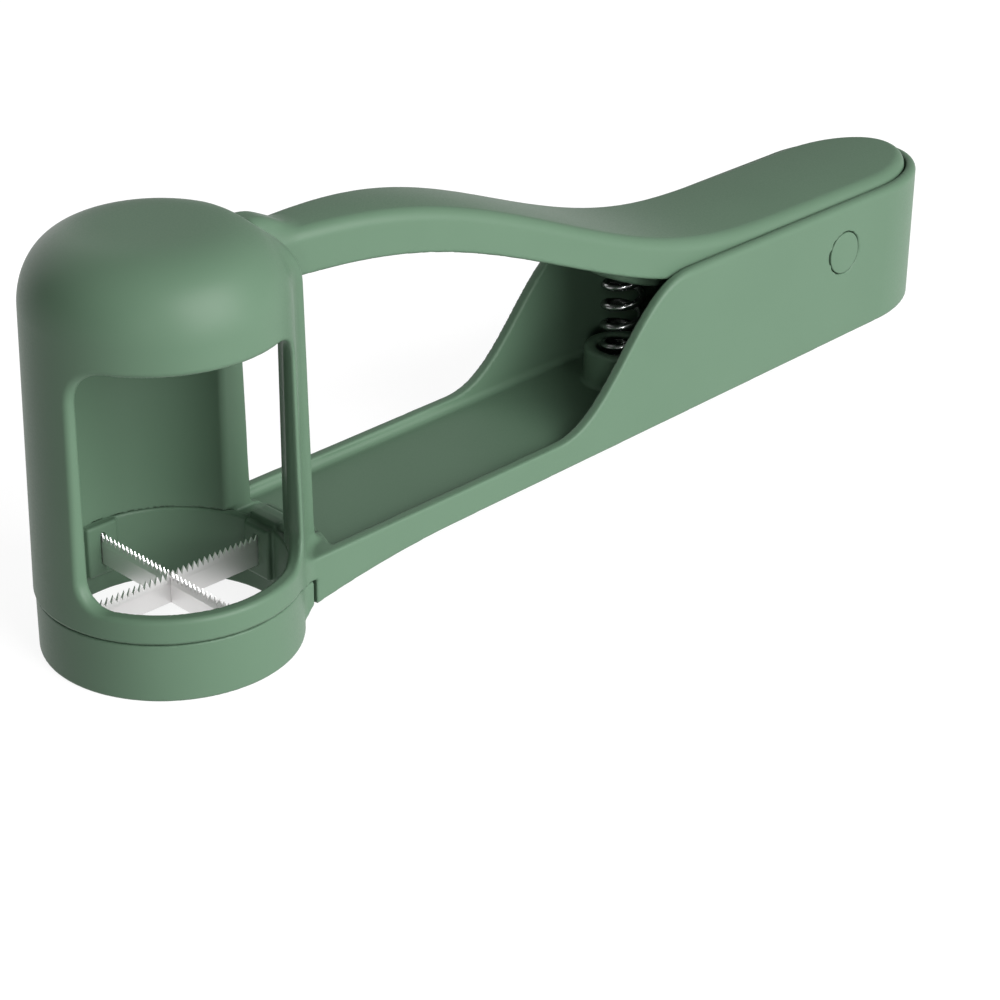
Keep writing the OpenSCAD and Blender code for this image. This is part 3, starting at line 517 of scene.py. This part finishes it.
def spring_wire():
    """Music wire with a thin black oxide, oiled: gloss where the light strikes, black elsewhere."""
    made, tree = new_material("black_oxide_music_wire")
    finish = bpy.context.scene.cutter_finish
    place = node(tree, "ShaderNodeTexCoord").outputs["Object"]
    scale = node(tree, "ShaderNodeTexNoise", {"Vector": place, "Scale": 1 / 0.0006, "Detail": 3.0})
    rough = node(tree, "ShaderNodeMapRange", {
        "Value": scale.outputs["Fac"], "From Min": 0.3, "From Max": 0.7,
        "To Min": 0.16, "To Max": 0.28})
    bump = node(tree, "ShaderNodeBump", {"Height": scale.outputs["Fac"], "Strength": 0.08,
                                         "Distance": 0.00002})
    shader = node(tree, "ShaderNodeBsdfPrincipled", {
        "Base Color": linear(finish.spring), "Metallic": 1.0, "Roughness": rough.outputs["Result"],
        "Normal": bump.outputs["Normal"]})
    node(tree, "ShaderNodeOutputMaterial", {"Surface": shader.outputs["BSDF"]})
    return made


def floor_acrylic():
    """White acrylic table, lit from below as in a packshot studio, so shadows stay faint."""
    made, tree = new_material("lit_white_acrylic")
    studio = bpy.context.scene.cutter_studio
    place = node(tree, "ShaderNodeTexCoord").outputs["Object"]
    cloud = node(tree, "ShaderNodeTexNoise", {"Vector": place, "Scale": 3.0})
    tone = node(tree, "ShaderNodeMix", {"Factor": cloud.outputs["Fac"], "A": linear("#6A6A6A"),
                                        "B": linear("#6E6E6E")}, data_type="RGBA")
    shader = node(tree, "ShaderNodeBsdfPrincipled", {
        "Base Color": tone.outputs["Result"], "Roughness": 0.6, "Emission Color": (1, 1, 1, 1),
        "Specular IOR Level": 0.2,
        "Emission Strength": studio.table_glow})
    node(tree, "ShaderNodeOutputMaterial", {"Surface": shader.outputs["BSDF"]})
    return made


MAKERS = {"sage_plastic": sage_plastic, "blade_steel": blade_steel, "pin_steel": pin_steel,
          "spring_steel": spring_wire}
MADE = {}


def material(slot):
    """The material of a slot, made once."""
    if slot not in MADE:
        MADE[slot] = MAKERS[slot]()
    return MADE[slot]


# --- making pieces ---

def place_piece(name, mesh, body, slot, *nodes):
    """Puts a finished mesh in the scene, as a piece that rides on a body and stands for CAD nodes."""
    piece = bpy.data.objects.new(name, mesh)
    bpy.context.scene.collection.objects.link(piece)
    mesh.materials.clear()
    mesh.materials.append(material(slot))
    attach(piece, body)
    if nodes:
        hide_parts(*nodes)
    return piece


def moulded(name, field, grid, body, node_name):
    """One moulding: the surface of a field, in metres, with normals taken from the field."""
    places, faces, normals = skin(field, *grid)
    mesh = bpy.data.meshes.new(name)
    mesh.from_pydata((places * MM).tolist(), [], faces.tolist())
    mesh.shade_smooth()
    mesh.normals_split_custom_set_from_vertices(normals.tolist())
    return place_piece(name, mesh, body, "sage_plastic", node_name)


def turned(name, outline, centre, axis_up, body, slot, *nodes, around=64):
    """A turned piece: an outline of (radius, height) pairs spun about an axis, closed at its poles."""
    mesh = bpy.data.meshes.new(name)
    made = bmesh.new()
    rings = []
    turns = [2 * math.pi * i / around for i in range(around)]
    for r, h in outline:
        spots = [(r * math.cos(a), r * math.sin(a), h) for a in turns] if r > 1e-9 else [(0, 0, h)]
        rings.append([made.verts.new(spot) for spot in spots])
    for a, b in zip(rings, rings[1:]):
        for i in range(around):
            j = (i + 1) % around
            loop = [a[0] if len(a) == 1 else a[i], a[0] if len(a) == 1 else a[j],
                    b[0] if len(b) == 1 else b[j], b[0] if len(b) == 1 else b[i]]
            loop = list(dict.fromkeys(loop))
            if len(loop) > 2:
                made.faces.new(loop)
    turn = Vector((0, 0, 1)).rotation_difference(Vector(axis_up)).to_matrix().to_4x4()
    place = Matrix.Translation(Vector(centre) * MM) @ turn @ Matrix.Scale(MM, 4)
    bmesh.ops.transform(made, matrix=place, verts=made.verts)
    bmesh.ops.recalc_face_normals(made, faces=made.faces)
    made.to_mesh(mesh)
    made.free()
    mesh.shade_smooth()
    mesh.set_sharp_from_angle(angle=math.radians(50))
    return place_piece(name, mesh, body, slot, *nodes)


def rounded(outline, r, steps=5):
    """An outline of points with each marked corner (x, y, 1) turned into a small arc of radius r."""
    out = []
    for i, p in enumerate(outline):
        if len(p) < 3:
            out.append((p[0], p[1]))
            continue
        here = Vector(p[:2])
        back = (Vector(outline[i - 1][:2]) - here).normalized()
        on = (Vector(outline[i + 1][:2]) - here).normalized()
        reach = r / math.tan(back.angle(on) / 2)
        a, b = here + back * reach, here + on * reach
        for s in range(steps + 1):
            t = s / steps
            q = a.lerp(here, t).lerp(here.lerp(b, t), t)
            out.append((q.x, q.y))
    return out


class MouldingSizes(bpy.types.PropertyGroup):
    head_step: FloatProperty(name="Head mesh step", default=0.00052, min=0.0003, unit="LENGTH",
                             description="Size of the faces on the head")
    handle_step: FloatProperty(name="Handle mesh step", default=0.0011, min=0.0005, unit="LENGTH",
                               description="Size of the faces along the handle")


class SpringSizes(bpy.types.PropertyGroup):
    wire: FloatProperty(name="Wire diameter", description="Diameter of the spring's wire",
                        default=0.0013, min=0.0005, unit="LENGTH")
    coil: FloatProperty(name="Coil diameter", description="Outer diameter of the coil",
                        default=0.0077, min=0.003, unit="LENGTH")
    length: FloatProperty(name="Length", description="Length of the spring between its seats at rest",
                          default=0.02172, min=0.01, unit="LENGTH")
    active: FloatProperty(name="Working turns", description="Open turns between the closed ends",
                          default=4.9, min=1)
    closed: FloatProperty(name="Closed turns", description="Closed turns at each end",
                          default=1.0, min=0)


class Finish(bpy.types.PropertyGroup):
    plastic_deep: StringProperty(name="Plastic, deep", default="#445948",
                                 description="Deeper tone of the plastic, sRGB hex")
    plastic_light: StringProperty(name="Plastic, light", default="#485D4C",
                                  description="Lighter tone of the plastic, sRGB hex")
    plastic_roughness: FloatProperty(name="Plastic roughness", default=0.42, min=0, max=1,
                                     description="Roughness of the moulded surface", subtype="FACTOR")
    steel: StringProperty(name="Steel", description="Colour of the stainless steel, sRGB hex",
                          default="#F2F0F0")
    spring: StringProperty(name="Spring", description="Colour of the spring's wire, sRGB hex",
                           default="#8E908F")


class Studio(bpy.types.PropertyGroup):
    table_glow: FloatProperty(name="Table glow", description="Light from the acrylic table itself",
                              default=0.87, min=0)
    key: FloatProperty(name="Key light", default=260.0, min=0,
                       description="Power of the large soft light at the right, in watts")
    back: FloatProperty(name="Back light", description="Power of the soft light behind, in watts",
                        default=32.0, min=0)
    sky: FloatProperty(name="Wall light", default=0.45, min=0,
                       description="Strength of the light from the room's pale walls")
    ceiling: FloatProperty(name="Ceiling light", description="Strength of the light from the ceiling",
                           default=0.56, min=0)
    card: FloatProperty(name="Card light", default=0.009, min=0,
                        description="Power of the small card that fills the handle's hollow, in watts")


class CUTTER_OT_main_body(bpy.types.Operator):
    """Moulds the head, the channel arm and the handle in one piece"""
    bl_idname = "cutter.main_body"
    bl_label = "Main body"

    def execute(self, context):
        sizes = context.scene.cutter_moulding
        a, b = sizes.head_step / MM, sizes.handle_step / MM
        grid = (stops((-20.7, a), (25, b), (66, 0.7 * b), (103, b), (148, a), 170.2),
                stops((-20.6, a), 20.6), stops((3.4, a), 65.8))
        moulded("main_body_moulding", main_body_field, grid, "handle", "main_body")
        return {"FINISHED"}


class CUTTER_OT_blade_ring(bpy.types.Operator):
    """Moulds the pull-off ring that holds the blades"""
    bl_idname = "cutter.blade_ring"
    bl_label = "Blade ring"

    def execute(self, context):
        a = 0.7 * context.scene.cutter_moulding.head_step / MM
        grid = (stops((-20.1, a), 21.6), stops((-20.1, a), 20.1), stops((-0.5, a), 13.4))
        moulded("blade_ring_moulding", blade_ring_field, grid, "cutter", "blade_ring")
        return {"FINISHED"}


class CUTTER_OT_blades(bpy.types.Operator):
    """Gives the two toothed strips their ground finish"""
    bl_idname = "cutter.blades"
    bl_label = "Blades"

    def execute(self, context):
        for name in ("long_blade", "cross_blade"):
            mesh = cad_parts[name].data
            mesh.materials.clear()
            mesh.materials.append(material("blade_steel"))
        return {"FINISHED"}


class CUTTER_OT_press_lever(bpy.types.Operator):
    """Moulds the press lever with its ribbed underside, knuckle and tongue"""
    bl_idname = "cutter.press_lever"
    bl_label = "Press lever"

    def execute(self, context):
        sizes = context.scene.cutter_moulding
        a, b = sizes.head_step / MM, sizes.handle_step / MM
        grid = (stops((-2.2, a), (25, 0.8 * b), (150, a), 168.2), stops((-11.7, 0.9 * a), 11.7),
                stops((19.3, 0.9 * a), 64.2))
        moulded("press_lever_moulding", press_lever_field, grid, "lever", "press_lever")
        return {"FINISHED"}


class CUTTER_OT_pusher(bpy.types.Operator):
    """Moulds the grooved pusher plate with its two slotted ears"""
    bl_idname = "cutter.pusher"
    bl_label = "Pusher"

    def execute(self, context):
        a = 0.75 * context.scene.cutter_moulding.head_step / MM
        grid = (stops((-17.7, a), 17.7), stops((-17.7, a), 17.7), stops((49.8, a), 61.5))
        moulded("pusher_moulding", pusher_field, grid, "plunger", "pusher")
        return {"FINISHED"}


class CUTTER_OT_pins(bpy.types.Operator):
    """Turns the pusher's pin and the two halves of the pivot"""
    bl_idname = "cutter.pins"
    bl_label = "Pins"

    def execute(self, context):
        rod = [(0, -PIN_HALF), (PIN_R, -PIN_HALF, 1), (PIN_R, PIN_HALF, 1), (0, PIN_HALF)]
        turned("pusher_pin_rod", rounded(rod, 0.25), (PIN_X, 0, PIN_Z), (0, 1, 0), "lever", "pin_steel",
               "pusher_pin")
        bore, wall, length = STUD_R + 0.02, PIVOT_WALL, HANDLE_HALF + INNER_HALF
        sleeve = [(0, 0), (PIVOT_R, 0, 1), (PIVOT_R, length, 1), (bore, length, 1), (bore, wall),
                  (0, wall)]
        turned("pivot_sleeve_bush", rounded(sleeve, 0.25), (PIVOT_X, HANDLE_HALF, PIVOT_Z), (0, -1, 0),
               "handle", "sage_plastic", "pivot_sleeve")
        stud = [(0, 0), (PIVOT_R, 0, 1), (PIVOT_R, wall), (STUD_R, wall), (STUD_R, length, 1),
                (0, length)]
        turned("pivot_stud_cap", rounded(stud, 0.25), (PIVOT_X, -HANDLE_HALF, PIVOT_Z), (0, 1, 0),
               "handle", "sage_plastic", "pivot_stud")
        return {"FINISHED"}


def spring_tree():
    """Nodes that wind a compression spring with closed ends on the Z axis, from its named sizes."""
    tree = bpy.data.node_groups.new("compression_spring", "GeometryNodeTree")
    face = tree.interface
    for name, default in (("Wire", 0.0013), ("Coil", 0.0077), ("Length", 0.0217),
                          ("Working turns", 4.9), ("Closed turns", 1.0)):
        face.new_socket(name, in_out="INPUT", socket_type="NodeSocketFloat").default_value = default
    face.new_socket("Points per turn", in_out="INPUT", socket_type="NodeSocketInt").default_value = 40
    face.new_socket("Finish", in_out="INPUT", socket_type="NodeSocketMaterial")
    face.new_socket("Spring", in_out="OUTPUT", socket_type="NodeSocketGeometry")
    given = node(tree, "NodeGroupInput").outputs

    def sum_of(operation, *parts):
        return node(tree, "ShaderNodeMath", dict(enumerate(parts)), operation=operation).outputs[0]
    turns = sum_of("MULTIPLY_ADD", given["Closed turns"], 2.0, given["Working turns"])
    count = sum_of("MULTIPLY", turns, given["Points per turn"])
    line = node(tree, "GeometryNodeCurvePrimitiveLine")
    points = node(tree, "GeometryNodeResampleCurve", {"Curve": line.outputs["Curve"], "Count": count})
    share = node(tree, "GeometryNodeSplineParameter").outputs["Factor"]
    done = sum_of("MULTIPLY", share, turns)
    open_done = sum_of("MAXIMUM", sum_of("SUBTRACT", done, given["Closed turns"]), 0.0)
    open_done = sum_of("MINIMUM", open_done, given["Working turns"])
    closed_done = sum_of("SUBTRACT", done, open_done)
    spare = sum_of("SUBTRACT", given["Length"], given["Wire"])
    closed_rise = sum_of("MULTIPLY", given["Closed turns"], given["Wire"])
    spare = sum_of("SUBTRACT", spare, sum_of("MULTIPLY", closed_rise, 2.0))
    pitch = sum_of("DIVIDE", spare, given["Working turns"])
    half_wire = sum_of("MULTIPLY", given["Wire"], 0.5)
    height = sum_of("MULTIPLY_ADD", closed_done, given["Wire"], half_wire)
    height = sum_of("MULTIPLY_ADD", open_done, pitch, height)
    radius = sum_of("SUBTRACT", sum_of("MULTIPLY", given["Coil"], 0.5), half_wire)
    angle = sum_of("MULTIPLY", done, 2 * math.pi)
    spot = node(tree, "ShaderNodeCombineXYZ", {
        "X": sum_of("MULTIPLY", radius, sum_of("COSINE", angle)),
        "Y": sum_of("MULTIPLY", radius, sum_of("SINE", angle)), "Z": height})
    path = node(tree, "GeometryNodeSetPosition", {"Geometry": points.outputs["Curve"],
                                                  "Position": spot.outputs["Vector"]})
    section = node(tree, "GeometryNodeCurvePrimitiveCircle", {"Resolution": 14, "Radius": half_wire})
    wire = node(tree, "GeometryNodeCurveToMesh", {"Curve": path.outputs["Geometry"],
                                                  "Profile Curve": section.outputs["Curve"],
                                                  "Fill Caps": True})
    smooth = node(tree, "GeometryNodeSetShadeSmooth", {"Geometry": wire.outputs["Mesh"]})
    real = node(tree, "GeometryNodeRealizeInstances", {"Geometry": smooth.outputs["Geometry"]})
    coated = node(tree, "GeometryNodeSetMaterial", {"Geometry": real.outputs["Geometry"],
                                                    "Material": given["Finish"]})
    node(tree, "NodeGroupOutput", {"Spring": coated.outputs["Geometry"]})
    return tree


def grown(name, tree, values):
    """The plain mesh that a node tree grows from its named inputs."""
    holder = bpy.data.objects.new(name + "_seed", bpy.data.meshes.new(name + "_seed"))
    bpy.context.scene.collection.objects.link(holder)
    modifier = holder.modifiers.new(name, "NODES")
    modifier.node_group = tree
    for item in tree.interface.items_tree:
        if item.in_out == "INPUT" and item.name in values:
            modifier[item.identifier] = values[item.name]
    graph = bpy.context.evaluated_depsgraph_get()
    mesh = bpy.data.meshes.new_from_object(holder.evaluated_get(graph), depsgraph=graph)
    holder.modifiers.clear()
    bpy.data.objects.remove(holder)
    mesh.name = name
    return mesh


class CUTTER_OT_return_spring(bpy.types.Operator):
    """Winds the return spring between its two cups"""
    bl_idname = "cutter.return_spring"
    bl_label = "Return spring"

    def execute(self, context):
        sizes = context.scene.cutter_spring
        mesh = grown("return_spring_coil", spring_tree(), {
            "Wire": sizes.wire, "Coil": sizes.coil, "Length": sizes.length,
            "Working turns": sizes.active, "Closed turns": sizes.closed, "Points per turn": 40,
            "Finish": material("spring_steel")})
        # turned so that its coils pass the opening as they do on the real one
        turn = Matrix.Rotation(SPRING_TURN, 4, "Z")
        mesh.transform(Matrix.Translation((SPRING_X * MM, 0, SEAT_LOW_Z * MM)) @ turn)
        piece = place_piece("return_spring_coil", mesh, "handle", "spring_steel", "return_spring")
        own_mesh(piece)
        return {"FINISHED"}


class CUTTER_OT_stage(bpy.types.Operator):
    """Sets up the table, the soft lights and the camera"""
    bl_idname = "cutter.stage"
    bl_label = "Studio"

    def execute(self, context):
        studio = context.scene.cutter_studio
        bpy.ops.mesh.primitive_plane_add(size=24.0, location=(0, 0, 0))
        table = context.object
        table.name = "acrylic_table"
        table.data.materials.append(floor_acrylic())
        world = bpy.data.worlds.new("soft_room")
        world.use_nodes = True
        tree = world.node_tree
        tree.nodes.clear()
        # a room with pale walls at the right, dark ones at the left and a dim ceiling
        way = node(tree, "ShaderNodeTexCoord").outputs["Generated"]
        parts = node(tree, "ShaderNodeSeparateXYZ", {"Vector": way}).outputs
        wall = node(tree, "ShaderNodeMapRange", {
            "Value": parts["X"], "From Min": -0.8, "From Max": 0.8, "To Min": 0.0,
            "To Max": studio.sky}, interpolation_type="SMOOTHSTEP")
        level = node(tree, "ShaderNodeMapRange", {
            "Value": parts["Z"], "From Min": 0.0, "From Max": 0.9, "To Min": wall.outputs["Result"],
            "To Max": studio.ceiling}, interpolation_type="SMOOTHSTEP")
        room = node(tree, "ShaderNodeBackground", {"Strength": level.outputs["Result"]})
        node(tree, "ShaderNodeOutputWorld", {"Surface": room.outputs["Background"]})
        context.scene.world = world
        for name, power, size, spread, place, aim in (
                ("right_softbox", studio.key, 2.6, 180, (0.5, -2.7, 1.25), (0.07, 0, 0.03)),
                ("back_softbox", studio.back, 2.6, 180, (0.2, 2.75, 0.9), (0.07, 0, 0.03)),
                ("hollow_card", studio.card, 0.1, 14, (-0.24, -0.27, 0.12), (0.094, 0, 0.022))):
            lamp = bpy.data.lights.new(name, "AREA")
            lamp.energy, lamp.size, lamp.spread = power, size, math.radians(spread)
            light = bpy.data.objects.new(name, lamp)
            light.location = place
            light.rotation_euler = (Vector(aim) - light.location).to_track_quat("-Z", "Y").to_euler()
            context.scene.collection.objects.link(light)
        lens = bpy.data.cameras.new("photo_camera")
        lens.sensor_width, lens.lens = 36.0, 93.6
        lens.shift_x, lens.shift_y = 0.0503, -0.0486
        lens.clip_start, lens.clip_end = 0.01, 40.0
        camera = bpy.data.objects.new("photo_camera", lens)
        camera.location = (-0.20263, -0.27091, 0.19425)
        camera.rotation_mode = "QUATERNION"
        camera.rotation_quaternion = Vector((0.6216, 0.6487, -0.4393)).to_track_quat("-Z", "Y")
        context.scene.collection.objects.link(camera)
        context.scene.camera = camera
        context.scene.view_settings.view_transform = "Standard"
        return {"FINISHED"}


OPERATORS = (CUTTER_OT_main_body, CUTTER_OT_blade_ring, CUTTER_OT_blades, CUTTER_OT_press_lever,
             CUTTER_OT_pusher, CUTTER_OT_pins, CUTTER_OT_return_spring, CUTTER_OT_stage)


class CUTTER_PT_panel(bpy.types.Panel):
    """Lists the cutter's pieces and the sizes and colours that can be changed"""
    bl_idname = "CUTTER_PT_panel"
    bl_label = "Grape cutter"
    bl_space_type = "VIEW_3D"
    bl_region_type = "UI"
    bl_category = "Grape cutter"

    def draw(self, context):
        scene = context.scene
        for group in (getattr(scene, key) for key in GROUPS):
            box = self.layout.box()
            for key in group.bl_rna.properties.keys():
                if key not in {"rna_type", "name"}:
                    box.prop(group, key)
        for operator in OPERATORS:
            self.layout.operator(operator.bl_idname)


GROUPS = {"cutter_moulding": MouldingSizes, "cutter_spring": SpringSizes, "cutter_finish": Finish,
          "cutter_studio": Studio}


def register():
    for kind in (*GROUPS.values(), *OPERATORS, CUTTER_PT_panel):
        bpy.utils.register_class(kind)
    for key, kind in GROUPS.items():
        setattr(bpy.types.Scene, key, PointerProperty(type=kind))


def unregister():
    for key in GROUPS:
        delattr(bpy.types.Scene, key)
    for kind in (CUTTER_PT_panel, *reversed(OPERATORS), *reversed(GROUPS.values())):
        bpy.utils.unregister_class(kind)


def main():
    register()
    for operator in OPERATORS:
        area, name = operator.bl_idname.split(".")
        getattr(getattr(bpy.ops, area), name)()


if __name__ == "__main__":
    main()
